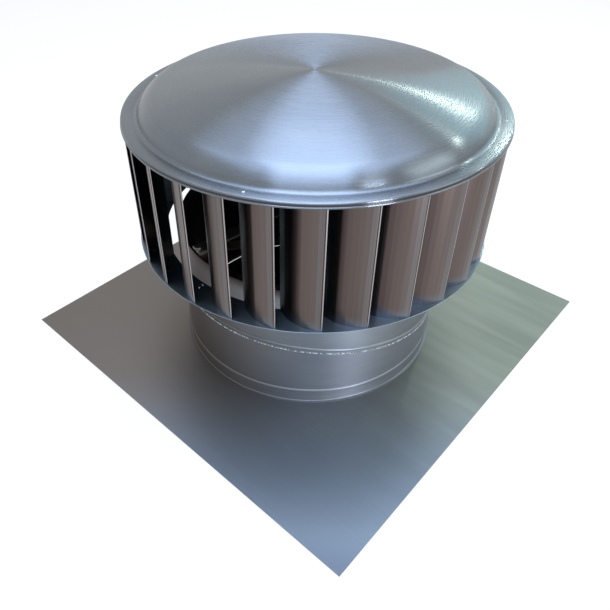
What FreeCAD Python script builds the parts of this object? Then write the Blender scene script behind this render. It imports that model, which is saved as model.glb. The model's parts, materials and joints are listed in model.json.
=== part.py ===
import FreeCAD, Part
import math
import os
import re
import Sketcher

# Roof turbine ventilator: a rotor of curved blades that turns on a fixed shaft above a sheet-metal throat.
# Millimetres and degrees, +Z up, origin in the middle of the underside of the base sheet, on the rotor axis.

doc = FreeCAD.newDocument("turbine_ventilator")
sheet = doc.addObject("Spreadsheet::Sheet", "Sizes")
sizes = {
    # Base sheet, upstand and throat
    "base_side": 920.0,
    "base_sheet": 1.2,
    "upstand_radius": 283.0,
    "upstand_sheet": 1.2,
    "foot_flare": 5.0,
    "foot_fillet": 2.0,
    "crease_height": 33.5,
    "swage_half": 4.0,
    "swage_arc": 4.6,
    "throat_fit": 0.3,
    "throat_sheet": 1.0,
    "throat_lap": 20.0,
    "throat_top": 298.5,
    "throat_rim": 15.0,
    "seam_height": 112.5,
    "seam_tilt": 10.4,
    "seam_direction": -85.1,
    "seam_drop": 10.5,
    "seal_size": 1.7,
    # Fixed spiders and shaft
    "arm_count": 4.0,
    "arm_angle": -103.1,
    "arm_width": 28.0,
    "arm_sheet": 4.0,
    "arm_foot": 20.0,
    "arm_foot_gap": 2.0,
    "arm_seat": 8.5,
    "arm_root": 1.0,
    "collar_wall": 7.5,
    "collar_length": 24.0,
    "lower_collar_height": 214.0,
    "upper_collar_height": 318.0,
    "collar_fit": 0.05,
    "journal_radius": 10.0,
    "shaft_step": 2.5,
    "thread_end": 6.0,
    "nut_wall": 7.3,
    "nut_height": 16.0,
    "washer_wall": 8.0,
    "top_washer_wall": 4.5,
    "washer_sheet": 2.0,
    # Bearings and their housing
    "bearing_radius": 23.5,
    "bearing_width": 14.0,
    "race_wall": 4.2,
    "ball_radius": 3.95,
    "ball_play": 0.06,
    "ball_count": 8.0,
    "bearing_spacing": 56.0,
    "bearing_drop": 4.0,
    "spacer_wall": 3.0,
    "housing_wall": 5.0,
    "housing_ledge": 3.0,
    "housing_skirt": 2.0,
    "housing_flange_width": 21.5,
    "housing_bolt_reach": 11.5,
    "housing_flange": 6.0,
    "housing_snout": 7.2,
    "clip_sheet": 1.5,
    "clip_width": 4.0,
    "clip_groove": 1.0,
    "dust_cap_room": 6.8,
    "dust_cap_sheet": 1.2,
    "dust_cap_fit": 0.1,
    "dust_cap_seat": 0.2,
    # Rotor rings and spider
    "ring_sheet": 1.2,
    "rotor_overhang": 81.0,
    "throat_gap": 26.0,
    "ring_inset": 0.2,
    "upper_ring_width": 63.5,
    "lower_ring_height": 277.5,
    "rotor_arm_width": 30.0,
    "rotor_arm_sheet": 4.0,
    "rotor_arm_lap": 13.0,
    "rotor_arm_root": 8.0,
    "rotor_arm_angle": -67.5,
    "disc_fit": 0.3,
    "disc_margin": 5.0,
    "joint_angle": -90.0,
    "joint_length": 44.0,
    "joint_width": 30.0,
    "joint_inset": 2.0,
    "joint_rivet_start": 5.7,
    "joint_rivet_gap": 9.1,
    # Blades
    "blade_count": 28.0,
    "blade_angle": -98.75,
    "blade_tip_inset": 2.0,
    "blade_setting": 40.9,
    "blade_curve": 88.5,
    "blade_arc": 60.4,
    "blade_facets": 5.0,
    "blade_sheet": 0.8,
    "hem_width": 4.5,
    "hem_turn": 32.0,
    "tab_depth": 12.0,
    "tab_width": 15.0,
    # Spun cap
    "cap_sheet": 1.0,
    "cap_floor": 538.0,
    "crown_curve": 1550.0,
    "shoulder_curve": 46.5,
    "shoulder_angle": 66.5,
    "cap_fillet": 8.0,
    "channel_flat": 2.0,
    "flange_width": 22.0,
    "channel_ramp": 2.0,
    "flange_rise": 1.0,
    "rim_corner": 2.2,
    "lip_drop": 10.5,
    "bead_half": 1.9,
    "bead_arc": 2.1,
    "lip_gap": 1.5,
    # Fasteners
    "rivet_shank": 2.0,
    "rivet_head": 3.4,
    "rivet_top": 2.1,
    "rivet_head_height": 1.3,
    "rivet_tail": 3.0,
    "rivet_tail_height": 1.6,
    "cap_rivet_inset": 14.0,
    "cap_rivet_angle_1": -160.6,
    "cap_rivet_angle_2": -67.6,
    "cap_rivet_angle_3": 26.4,
    "cap_rivet_angle_4": 112.6,
    "arm_rivet_lap": 6.5,
    "arm_rivet_offset": 8.0,
    "bolt_shank": 3.0,
    "bolt_head": 5.7,
    "bolt_head_height": 4.0,
    "bolt_nut_height": 5.0,
    "bolt_end": 1.5,
}
for row, (name, number) in enumerate(sizes.items(), start=1):
    sheet.set("A%d" % row, name)
    sheet.set("B%d" % row, str(number))
    sheet.setAlias("B%d" % row, name)
doc.recompute()

parts = []


def link(text):
    """Expression text in which each size name points at the sheet."""
    return re.sub(r"[a-z][a-z_0-9]*", lambda m: "Sizes." + m.group() if m.group() in sizes else m.group(), str(text))


def value(text):
    """Number that an expression gives with the sheet's present sizes."""
    result = sheet.evalExpression(link(text))
    return float(getattr(result, "Value", result))


def add_part(item, label):
    item.Label = label
    parts.append(item)
    return item


def new_body(label):
    return add_part(doc.addObject("PartDesign::Body", "body_" + label), label)


def origin_plane(body, role):
    return next(item for item in body.Origin.OriginFeatures if item.Role == role)


def arc_between(start, end, radius, side):
    """Short arc from start to end; side is 1 where its centre lies left of the way from start to end."""
    half = (end - start) * 0.5
    across = FreeCAD.Vector(-half.y, half.x, 0).normalize()
    centre = start + half + across * side * math.sqrt(max(radius ** 2 - half.Length ** 2, 0.0))
    middle = centre - across * side * radius
    return Part.Arc(start, middle, end)


def outline(body, name, corners, arcs=None, plane="XZ_Plane", height="0"):
    """Closed sketch through corners of expression texts; arcs maps a corner to (radius, side) of the edge after it."""
    arcs = arcs or {}
    sketch = body.newObject("Sketcher::SketchObject", name)
    sketch.AttachmentSupport = [(origin_plane(body, plane), "")]
    sketch.MapMode = "FlatFace"
    if height != "0":
        sketch.setExpression("AttachmentOffset.Base.z", link(height))
    points = [FreeCAD.Vector(value(x), value(y), 0) for x, y in corners]
    starts = []
    for index, start in enumerate(points):
        end = points[(index + 1) % len(points)]
        if index in arcs:
            radius, side = arcs[index]
            edge = sketch.addGeometry(arc_between(start, end, value(radius), side), False)
            starts.append((edge, 1 if side > 0 else 2))
            spot = sketch.addConstraint(Sketcher.Constraint("Radius", edge, value(radius)))
            sketch.setExpression("Constraints[%d]" % spot, link(radius))
        else:
            edge = sketch.addGeometry(Part.LineSegment(start, end), False)
            starts.append((edge, 1))
    for index, (edge, corner) in enumerate(starts):
        before, before_corner = starts[index - 1]
        sketch.addConstraint(Sketcher.Constraint("Coincident", before, 3 - before_corner, edge, corner))
        for kind, axis, text in (("DistanceX", -2, corners[index][0]), ("DistanceY", -1, corners[index][1])):
            if text == "0":
                sketch.addConstraint(Sketcher.Constraint("PointOnObject", edge, corner, axis))
            else:
                spot = sketch.addConstraint(Sketcher.Constraint(kind, -1, 1, edge, corner, value(text)))
                sketch.setExpression("Constraints[%d]" % spot, link(text))
    return sketch


def add_circle(sketch, x, y, radius):
    """Round hole or disc in a sketch, centred on expression texts."""
    edge = sketch.addGeometry(Part.Circle(FreeCAD.Vector(value(x), value(y), 0), FreeCAD.Vector(0, 0, 1),
                                          value(radius)), False)
    spot = sketch.addConstraint(Sketcher.Constraint("Radius", edge, value(radius)))
    sketch.setExpression("Constraints[%d]" % spot, link(radius))
    for kind, axis, text in (("DistanceX", -2, x), ("DistanceY", -1, y)):
        if text == "0":
            sketch.addConstraint(Sketcher.Constraint("PointOnObject", edge, 3, axis))
        else:
            spot = sketch.addConstraint(Sketcher.Constraint(kind, -1, 1, edge, 3, value(text)))
            sketch.setExpression("Constraints[%d]" % spot, link(text))


def turned(label, corners, arcs=None, body=None):
    """Body turned about the rotor axis from an outline of (radius, height) corners."""
    body = body or new_body(label)
    sketch = outline(body, label + "_section", corners, arcs)
    turn = body.newObject("PartDesign::Revolution", label + "_turn")
    turn.Profile = sketch
    turn.ReferenceAxis = (sketch, ["V_Axis"])
    turn.Angle = 360.0
    sketch.Visibility = False
    return body


def ring(label, inner, outer, low, high):
    """Flat ring or tube of rectangular section."""
    return turned(label, [(inner, low), (outer, low), (outer, high), (inner, high)])


def pad(body, sketch, name, length):
    item = body.newObject("PartDesign::Pad", name)
    item.Profile = sketch
    item.setExpression("Length", link(length))
    return item


def drill(body, name, spots, radius):
    """Round holes through the whole body along Z, at spots of (x, y) expression texts."""
    sketch = body.newObject("Sketcher::SketchObject", name + "_centres")
    sketch.AttachmentSupport = [(origin_plane(body, "XY_Plane"), "")]
    sketch.MapMode = "FlatFace"
    for x, y in spots:
        add_circle(sketch, x, y, radius)
    doc.recompute()
    before = body.Shape.Volume
    cut = body.newObject("PartDesign::Pocket", name)
    cut.Profile = sketch
    cut.Type = "ThroughAll"
    cut.Midplane = True
    doc.recompute()
    if body.Shape.Volume >= before:
        raise RuntimeError(name + " cuts nothing")


def polar_spots(radius, angle, count, offset="0"):
    """Centres spaced evenly on a circle, each shifted sideways by offset."""
    spots = []
    for index in range(int(round(value(count)))):
        turn = "(%s + %d * 360 / %s)" % (angle, index, count)
        spots.append(("(%s) * cos%s - (%s) * sin%s" % (radius, turn, offset, turn),
                      "(%s) * sin%s + (%s) * cos%s" % (radius, turn, offset, turn)))
    return spots


def primitive(kind, name, sizes_of, x="0", y="0", z="0"):
    """Part primitive whose sizes and place are bound to the sheet."""
    item = doc.addObject("Part::" + kind, name)
    for size_name, text in sizes_of.items():
        item.setExpression(size_name, link(text))
    for axis, text in (("x", x), ("y", y), ("z", z)):
        item.setExpression("Placement.Base." + axis, link(text))
    return item


def group(label, items):
    """Node that holds several separate solids."""
    item = doc.addObject("Part::Compound", "group_" + label)
    item.Links = items
    return add_part(item, label)


def fused(name, items):
    item = doc.addObject("Part::MultiFuse", name)
    item.Shapes = items
    return item


def rivet(name, x, y, low, high):
    """Blind rivet with its domed head above high and its set tail below low."""
    return fused(name, [
        primitive("Cylinder", name + "_shank", {"Radius": "rivet_shank", "Height": "(%s) - (%s)" % (high, low)},
                  x, y, low),
        primitive("Cone", name + "_head", {"Radius1": "rivet_head", "Radius2": "rivet_top",
                                           "Height": "rivet_head_height"}, x, y, high),
        primitive("Cylinder", name + "_tail", {"Radius": "rivet_tail", "Height": "rivet_tail_height"},
                  x, y, "(%s) - rivet_tail_height" % low)])


def bolt(name, x, y, low, high):
    """Hexagon bolt with its head on high and a shank that runs below low through the nut."""
    return fused(name, [
        primitive("Cylinder", name + "_shank",
                  {"Radius": "bolt_shank", "Height": "(%s) - (%s) + bolt_nut_height + bolt_end" % (high, low)},
                  x, y, "(%s) - bolt_nut_height - bolt_end" % low),
        primitive("Prism", name + "_head", {"Circumradius": "bolt_head", "Height": "bolt_head_height"},
                  x, y, high)])


def nut(name, x, y, high, radius, height, hole):
    """Hexagon nut under high."""
    cut = doc.addObject("Part::Cut", name)
    cut.Base = primitive("Prism", name + "_hexagon", {"Circumradius": radius, "Height": height},
                         x, y, "(%s) - (%s)" % (high, height))
    cut.Tool = primitive("Cylinder", name + "_hole", {"Radius": hole, "Height": height},
                         x, y, "(%s) - (%s)" % (high, height))
    return cut


# Shared places

upstand_inner = "(upstand_radius - upstand_sheet)"
throat_outer = "(upstand_radius - upstand_sheet - throat_fit)"
throat_inner = "(upstand_radius - upstand_sheet - throat_fit - throat_sheet)"
upstand_edge = "(seam_height - seam_drop)"
throat_edge = "(seam_height - seam_drop - throat_lap)"
lower_arm_height = "(lower_collar_height + arm_seat)"
upper_arm_height = "(upper_collar_height + arm_seat)"
lower_foot = "throat_top"
upper_foot = "(throat_top + arm_sheet)"
foot_high = "(throat_top + 2 * arm_sheet)"
foot_outer = "(%s - arm_foot_gap)" % throat_inner
foot_inner = "(%s - arm_foot)" % foot_outer
spider_bolt_circle = "(%s - throat_rim / 2)" % throat_inner
shaft_radius = "(journal_radius + shaft_step)"
shaft_shoulder_low = "(lower_collar_height + collar_length)"
shaft_shoulder = "(cap_floor - bearing_drop - 2 * bearing_width - bearing_spacing)"
shaft_bottom = "(lower_collar_height - washer_sheet - nut_height - thread_end)"
shaft_end = "(cap_floor - bearing_drop + washer_sheet + nut_height + thread_end)"
nut_radius = "(journal_radius + nut_wall)"
collar_radius = "(journal_radius + shaft_step + collar_wall)"
lower_bearing_high = "(cap_floor - bearing_drop - bearing_width - bearing_spacing)"
upper_bearing_low = "(cap_floor - bearing_drop - bearing_width)"
upper_bearing_high = "(cap_floor - bearing_drop)"
ball_circle = "((journal_radius + bearing_radius) / 2)"
inner_ring_radius = "(journal_radius + race_wall)"
outer_ring_bore = "(bearing_radius - race_wall)"
housing_radius = "(bearing_radius + housing_wall)"
housing_bore = "(bearing_radius - housing_ledge)"
housing_flange_radius = "(bearing_radius + housing_wall + housing_flange_width)"
housing_bolt_circle = "(bearing_radius + housing_wall + housing_bolt_reach)"
rotor_disc_radius = "(bearing_radius + housing_wall + housing_flange_width + disc_margin)"
rim_radius = "(upstand_radius + rotor_overhang)"
channel_edge = "(upstand_radius + rotor_overhang - flange_width)"
lower_ring_inner = "(upstand_radius + throat_gap)"
lower_ring_outer = "(upstand_radius + rotor_overhang - ring_inset)"
upper_ring_high = "(cap_floor - cap_sheet)"
upper_ring_low = "(cap_floor - cap_sheet - ring_sheet)"
upper_ring_outer = "(upstand_radius + rotor_overhang - cap_sheet - lip_gap)"
upper_ring_inner = "(upstand_radius + rotor_overhang - cap_sheet - lip_gap - upper_ring_width)"
rotor_arm_reach = "(%s + rotor_arm_lap)" % upper_ring_inner
arm_rivet_radius = "(%s + arm_rivet_lap)" % upper_ring_inner
cap_rivet_radius = "(%s - cap_rivet_inset)" % rim_radius
joint_start = "(%s + joint_inset)" % lower_ring_inner
joint_rivet_inner = "(%s + joint_rivet_start)" % lower_ring_inner
joint_rivet_outer = "(%s + joint_rivet_start + joint_rivet_gap)" % lower_ring_inner
blade_tip_radius = "(%s - blade_tip_inset)" % rim_radius
rotor_arm_low = "(cap_floor - cap_sheet - ring_sheet - rotor_arm_sheet)"
blade_low = "(lower_ring_height + ring_sheet)"
blade_length = "(cap_floor - cap_sheet - 2 * ring_sheet - lower_ring_height)"
housing_top = "(%s + housing_snout)" % rotor_arm_low
flange_high = "(cap_floor + flange_rise)"


def base_plate():
    """Square flashing sheet with the round opening under the upstand."""
    body = new_body("base_plate")
    half = "base_side / 2"
    sketch = outline(body, "base_square", [("-" + half, "-" + half), (half, "-" + half), (half, half),
                                           ("-" + half, half)], plane="XY_Plane")
    add_circle(sketch, "0", "0", upstand_inner)
    pad(body, sketch, "base_pad", "base_sheet")


def seam_turn():
    """Rotation that turns Z square to the tilted seam plane."""
    tilt = FreeCAD.Rotation(FreeCAD.Vector(0, 1, 0), -value("seam_tilt"))
    return FreeCAD.Rotation(FreeCAD.Vector(0, 0, 1), value("seam_direction")) * tilt


def turn_to(item, rotation):
    item.Placement = FreeCAD.Placement(item.Placement.Base, rotation)
    return item


def above_seam(name, height):
    """Space above a plane parallel to the seam."""
    sizes_of = {"Radius": "2 * upstand_radius", "Height": "upstand_radius"}
    return turn_to(primitive("Cylinder", name, sizes_of, z=height), seam_turn())


def seam_cord(name, radius, height, thickness):
    """Round cord along the line in which a plane parallel to the seam cuts a cylinder about the rotor axis."""
    lengths = {"MajorRadius": "(%s) / cos(seam_tilt)" % radius, "MinorRadius": radius}
    path = turn_to(primitive("Ellipse", name + "_path", lengths, z=height), seam_turn())
    start = primitive("Circle", name + "_section", {"Radius": thickness}, "(%s) * cos(seam_direction)" % radius,
                      "(%s) * sin(seam_direction)" % radius, "(%s) + (%s) * tan(seam_tilt)" % (height, radius))
    turn_to(start, seam_turn() * FreeCAD.Rotation(FreeCAD.Vector(1, 0, 0), 90))
    cord = doc.addObject("Part::Sweep", name)
    cord.Sections = [start]
    cord.Spine = (path, ["Edge1"])
    cord.Solid = True
    cord.Frenet = True
    return cord


def joined(kind, name, base, tool):
    """Cut or Common of two objects; merging faces afterwards would spoil the swept cord, so Refine stays off."""
    item = doc.addObject("Part::" + kind, name)
    item.Base = base
    item.Tool = tool
    item.Refine = False
    return item


def upstand():
    """Round collar with a flared foot and a crease ring near the base sheet; its top edge follows the tilted seam."""
    foot = "base_sheet"
    foot_high_edge = "(base_sheet + upstand_sheet)"
    flare = "(upstand_radius + foot_flare)"
    high = "(seam_height + upstand_radius * tan(seam_tilt))"
    crease_low, crease_high = "(crease_height - swage_half)", "(crease_height + swage_half)"
    corners = [(upstand_inner, foot), (flare, foot), (flare, foot_high_edge),
               ("(upstand_radius + foot_fillet)", foot_high_edge),
               ("upstand_radius", "(base_sheet + upstand_sheet + foot_fillet)"),
               ("upstand_radius", crease_low), ("upstand_radius", crease_high), ("upstand_radius", high),
               (upstand_inner, high), (upstand_inner, crease_high), (upstand_inner, crease_low)]
    wall = turned("upstand_wall", corners, {3: ("foot_fillet", -1), 5: ("swage_arc", 1), 9: ("swage_arc", -1)},
                  doc.addObject("PartDesign::Body", "upstand_wall"))
    add_part(joined("Cut", "upstand_cut", wall, above_seam("upstand_trim", upstand_edge)), "upstand")


def throat_tube():
    """Throat nested in the upstand, with a swage above the tilted seam and a rim turned inward at the top."""
    rim_inner = "(%s - throat_rim)" % throat_inner
    rim_low = "(throat_top - throat_sheet)"
    low = "(%s - 2 * upstand_radius * tan(seam_tilt))" % throat_edge
    plug = turned("throat_plug", [("0", low), (throat_outer, low), (throat_outer, "throat_top"),
                                  (rim_inner, "throat_top"), (rim_inner, rim_low), ("0", rim_low)],
                  body=doc.addObject("PartDesign::Body", "throat_plug"))
    drill(plug, "throat_bolt_holes", polar_spots(spider_bolt_circle, "arm_angle", "arm_count"), "bolt_shank")
    swage_centre = "(%s - sqrt(swage_arc ^ 2 - swage_half ^ 2))" % throat_outer
    swaged = fused("throat_swaged", [plug, seam_cord("swage_cord", swage_centre, "seam_height", "swage_arc")])
    swaged.Refine = False
    bore = primitive("Cylinder", "throat_bore", {"Radius": throat_inner, "Height": "%s - %s" % (rim_low, low)}, z=low)
    groove = seam_cord("groove_cord", swage_centre, "seam_height", "(swage_arc - throat_sheet)")
    hollow = joined("Cut", "throat_hollow", joined("Cut", "throat_bored", swaged, bore), groove)
    add_part(joined("Common", "throat_trimmed", hollow, above_seam("throat_trim", throat_edge)), "throat_tube")


def seam_sealant():
    """Sealant fillet on the upper edge of the upstand."""
    wall = primitive("Cylinder", "sealant_wall", {"Radius": throat_outer, "Height": "throat_top"})
    cord = seam_cord("sealant_cord", throat_outer, upstand_edge, "seal_size")
    outside = joined("Cut", "sealant_outside", cord, wall)
    add_part(joined("Common", "sealant_fillet", outside, above_seam("sealant_trim", upstand_edge)), "seam_sealant")


def spider(label, collar_low, collar_bore, arm_corners):
    """Collar with flat-bar arms welded to it; each arm's foot lies on the throat rim."""
    collar_high = "(%s + collar_length)" % collar_low
    ring(label, collar_bore, collar_radius, collar_low, collar_high)
    body = parts[-1]
    sketch = outline(body, label + "_arm_side", arm_corners)
    arm = pad(body, sketch, label + "_arm", "arm_width")
    arm.Midplane = True
    doc.recompute()
    pattern = body.newObject("PartDesign::PolarPattern", label + "_arms")
    pattern.Originals = [arm]
    pattern.Axis = (origin_plane(body, "Z_Axis"), [""])
    pattern.Angle = 360.0
    pattern.Occurrences = int(round(value("arm_count")))
    body.Tip = pattern
    body.setExpression("Placement.Rotation.Angle", link("arm_angle"))
    body.Placement.Rotation.Axis = FreeCAD.Vector(0, 0, 1)
    drill(body, label + "_foot_holes", polar_spots(spider_bolt_circle, "0", "arm_count"), "bolt_shank")


def lower_spider():
    root = "(%s - arm_root)" % collar_radius
    corners = [(root, lower_arm_height), (foot_inner, lower_foot), (foot_outer, lower_foot),
               (foot_outer, upper_foot), ("(%s - arm_root)" % foot_inner, upper_foot),
               (root, "(%s + arm_sheet)" % lower_arm_height)]
    spider("lower_spider", "lower_collar_height", "(journal_radius + collar_fit)", corners)


def upper_spider():
    root = "(%s - arm_root)" % collar_radius
    corners = [(root, upper_arm_height), (foot_inner, upper_foot), (foot_outer, upper_foot),
               (foot_outer, foot_high), (foot_inner, foot_high),
               (root, "(%s + arm_sheet)" % upper_arm_height)]
    spider("upper_spider", "upper_collar_height", "(%s + collar_fit)" % shaft_radius, corners)


def spider_fasteners():
    spots = polar_spots(spider_bolt_circle, "arm_angle", "arm_count")
    rim_low = "(throat_top - throat_sheet)"
    group("spider_bolts", [bolt("spider_bolt_%d" % index, x, y, rim_low, foot_high)
                           for index, (x, y) in enumerate(spots)])
    group("spider_nuts", [nut("spider_nut_%d" % index, x, y, rim_low, "bolt_head", "bolt_nut_height",
                              "bolt_shank") for index, (x, y) in enumerate(spots)])


def shaft():
    """Fixed stepped shaft: thread below the lower collar, full section between, journal for the bearings."""
    turned("shaft", [("0", shaft_bottom), ("journal_radius", shaft_bottom), ("journal_radius", shaft_shoulder_low),
                     (shaft_radius, shaft_shoulder_low), (shaft_radius, shaft_shoulder),
                     ("journal_radius", shaft_shoulder), ("journal_radius", shaft_end), ("0", shaft_end)])


def washer(name, radius, low):
    """Round washer on the shaft, standing on low."""
    cut = doc.addObject("Part::Cut", name)
    cut.Base = primitive("Cylinder", name + "_disc", {"Radius": radius, "Height": "washer_sheet"}, z=low)
    cut.Tool = primitive("Cylinder", name + "_hole", {"Radius": "journal_radius", "Height": "washer_sheet"}, z=low)
    return cut


def shaft_fasteners():
    """A washer and a nut under the lower collar, and the same above the upper bearing."""
    lower_face = "(lower_collar_height - washer_sheet)"
    upper_face = "(%s + washer_sheet)" % upper_bearing_high
    group("shaft_washers", [washer("lower_washer", "(journal_radius + washer_wall)", lower_face),
                            washer("upper_washer", "(journal_radius + top_washer_wall)", upper_bearing_high)])
    group("shaft_nuts", [nut("lower_nut", "0", "0", lower_face, nut_radius, "nut_height", "journal_radius"),
                         nut("upper_nut", "0", "0", "(%s + nut_height)" % upper_face, nut_radius, "nut_height",
                             "journal_radius")])


def bearing(place, low):
    """Deep-groove ball bearing: inner ring, outer ring and ball row."""
    middle = "(%s + bearing_width / 2)" % low
    high = "(%s + bearing_width)" % low
    groove = "(ball_radius + ball_play)"
    inner_reach = "sqrt(%s ^ 2 - (%s - %s) ^ 2)" % (groove, ball_circle, inner_ring_radius)
    outer_reach = "sqrt(%s ^ 2 - (%s - %s) ^ 2)" % (groove, outer_ring_bore, ball_circle)
    turned(place + "_inner_ring",
           [("journal_radius", low), (inner_ring_radius, low),
            (inner_ring_radius, "%s - %s" % (middle, inner_reach)),
            (inner_ring_radius, "%s + %s" % (middle, inner_reach)),
            (inner_ring_radius, high), ("journal_radius", high)], {2: (groove, -1)})
    turned(place + "_outer_ring",
           [("bearing_radius", low), ("bearing_radius", high), (outer_ring_bore, high),
            (outer_ring_bore, "%s + %s" % (middle, outer_reach)),
            (outer_ring_bore, "%s - %s" % (middle, outer_reach)),
            (outer_ring_bore, low)], {3: (groove, -1)})
    balls = [primitive("Sphere", "%s_ball_%d" % (place, index), {"Radius": "ball_radius"}, x, y, middle)
             for index, (x, y) in enumerate(polar_spots(ball_circle, "0", "ball_count"))]
    group(place + "_balls", balls)


def bearings():
    bearing("lower_bearing", shaft_shoulder)
    bearing("upper_bearing", upper_bearing_low)
    ring("bearing_spacer", "journal_radius", "(journal_radius + spacer_wall)", lower_bearing_high, upper_bearing_low)


def bearing_housing():
    """Hub that carries the rotor spider on the outer rings of both bearings."""
    low = "(%s - housing_skirt)" % shaft_shoulder
    flange_low = "(%s - housing_flange)" % rotor_arm_low
    clip_low = upper_bearing_high
    clip_high = "(%s + clip_sheet)" % upper_bearing_high
    clip_radius = "(bearing_radius + clip_groove)"
    turned("bearing_housing", [
        ("bearing_radius", low), (housing_radius, low), (housing_radius, flange_low),
        (housing_flange_radius, flange_low), (housing_flange_radius, rotor_arm_low),
        (housing_radius, rotor_arm_low), (housing_radius, housing_top), ("bearing_radius", housing_top),
        ("bearing_radius", clip_high), (clip_radius, clip_high), (clip_radius, clip_low),
        ("bearing_radius", clip_low), ("bearing_radius", upper_bearing_low), (housing_bore, upper_bearing_low),
        (housing_bore, lower_bearing_high), ("bearing_radius", lower_bearing_high)])
    drill(parts[-1], "housing_bolt_holes", polar_spots(housing_bolt_circle, "rotor_arm_angle + 45", "arm_count"),
          "bolt_shank")
    ring("retaining_ring", "(%s - clip_width)" % clip_radius, clip_radius, clip_low, clip_high)
    cap_inner = "(%s + dust_cap_fit)" % housing_radius
    cap_outer = "(%s + dust_cap_fit + dust_cap_sheet)" % housing_radius
    cap_low = "(%s + dust_cap_seat)" % upper_ring_low
    cap_high = "(%s + dust_cap_room)" % shaft_end
    turned("dust_cap", [(cap_inner, cap_low), (cap_outer, cap_low), (cap_outer, cap_high), ("0", cap_high),
                        ("0", "(%s - dust_cap_sheet)" % cap_high),
                        (cap_inner, "(%s - dust_cap_sheet)" % cap_high)])


def rotor_spider():
    """Centre disc and flat arms that carry the upper ring."""
    ring("rotor_spider", "(%s + disc_fit)" % housing_radius, rotor_disc_radius, rotor_arm_low, upper_ring_low)
    body = parts[-1]
    half = "rotor_arm_width / 2"
    start = "(%s - rotor_arm_root)" % rotor_disc_radius
    sketch = outline(body, "rotor_arm_plan", [(start, "-" + half), (rotor_arm_reach, "-" + half),
                                              (rotor_arm_reach, half), (start, half)],
                     plane="XY_Plane", height=rotor_arm_low)
    arm = pad(body, sketch, "rotor_arm", "rotor_arm_sheet")
    doc.recompute()
    pattern = body.newObject("PartDesign::PolarPattern", "rotor_arms")
    pattern.Originals = [arm]
    pattern.Axis = (origin_plane(body, "Z_Axis"), [""])
    pattern.Angle = 360.0
    pattern.Occurrences = int(round(value("arm_count")))
    body.Tip = pattern
    body.setExpression("Placement.Rotation.Angle", link("rotor_arm_angle"))
    body.Placement.Rotation.Axis = FreeCAD.Vector(0, 0, 1)
    drill(body, "disc_bolt_holes", polar_spots(housing_bolt_circle, "45", "arm_count"), "bolt_shank")
    drill(body, "arm_rivet_holes", polar_spots(arm_rivet_radius, "0", "arm_count", "arm_rivet_offset")
          + polar_spots(arm_rivet_radius, "0", "arm_count", "-arm_rivet_offset"), "rivet_shank")


def housing_fasteners():
    flange_low = "(%s - housing_flange)" % rotor_arm_low
    spots = polar_spots(housing_bolt_circle, "rotor_arm_angle + 45", "arm_count")
    group("housing_bolts", [bolt("housing_bolt_%d" % index, x, y, flange_low, upper_ring_low)
                            for index, (x, y) in enumerate(spots)])
    group("housing_nuts", [nut("housing_nut_%d" % index, x, y, flange_low, "bolt_head", "bolt_nut_height",
                               "bolt_shank") for index, (x, y) in enumerate(spots)])


def cap_rivet_spots():
    return [("%s * cos(cap_rivet_angle_%d)" % (cap_rivet_radius, index),
             "%s * sin(cap_rivet_angle_%d)" % (cap_rivet_radius, index)) for index in range(1, 5)]


def arm_rivet_spots():
    return (polar_spots(arm_rivet_radius, "rotor_arm_angle", "arm_count", "arm_rivet_offset")
            + polar_spots(arm_rivet_radius, "rotor_arm_angle", "arm_count", "-arm_rivet_offset"))


def joint_rivet_spots():
    return [("%s * cos(joint_angle)" % radius, "%s * sin(joint_angle)" % radius)
            for radius in (joint_rivet_inner, joint_rivet_outer)]


def upper_ring():
    ring("upper_ring", upper_ring_inner, upper_ring_outer, upper_ring_low, upper_ring_high)
    drill(parts[-1], "upper_ring_holes", cap_rivet_spots() + arm_rivet_spots(), "rivet_shank")


def lower_ring():
    """Flat ring under the blades; its ends meet over the joint plate."""
    ring("lower_ring", lower_ring_inner, lower_ring_outer, "lower_ring_height", blade_low)
    drill(parts[-1], "lower_ring_holes", joint_rivet_spots(), "rivet_shank")


def joint_plate():
    """Strip under the joint of the lower ring."""
    body = new_body("joint_plate")
    low = "(lower_ring_height - ring_sheet)"
    half = "joint_width / 2"
    end = "(%s + joint_length)" % joint_start
    corners = [(joint_start, "-" + half), (end, "-" + half), (end, half), (joint_start, half)]
    sketch = outline(body, "joint_plan", corners, plane="XY_Plane", height=low)
    pad(body, sketch, "joint_pad", "ring_sheet")
    body.setExpression("Placement.Rotation.Angle", link("joint_angle"))
    body.Placement.Rotation.Axis = FreeCAD.Vector(0, 0, 1)
    drill(body, "joint_holes", [(joint_rivet_inner, "0"), (joint_rivet_outer, "0")], "rivet_shank")


def rivets():
    group("cap_rivets", [rivet("cap_rivet_%d" % index, x, y, upper_ring_low, flange_high)
                         for index, (x, y) in enumerate(cap_rivet_spots())])
    group("arm_rivets", [rivet("arm_rivet_%d" % index, x, y, rotor_arm_low, upper_ring_high)
                         for index, (x, y) in enumerate(arm_rivet_spots())])
    group("joint_rivets", [rivet("joint_rivet_%d" % index, x, y, "(lower_ring_height - ring_sheet)", blade_low)
                           for index, (x, y) in enumerate(joint_rivet_spots())])


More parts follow.
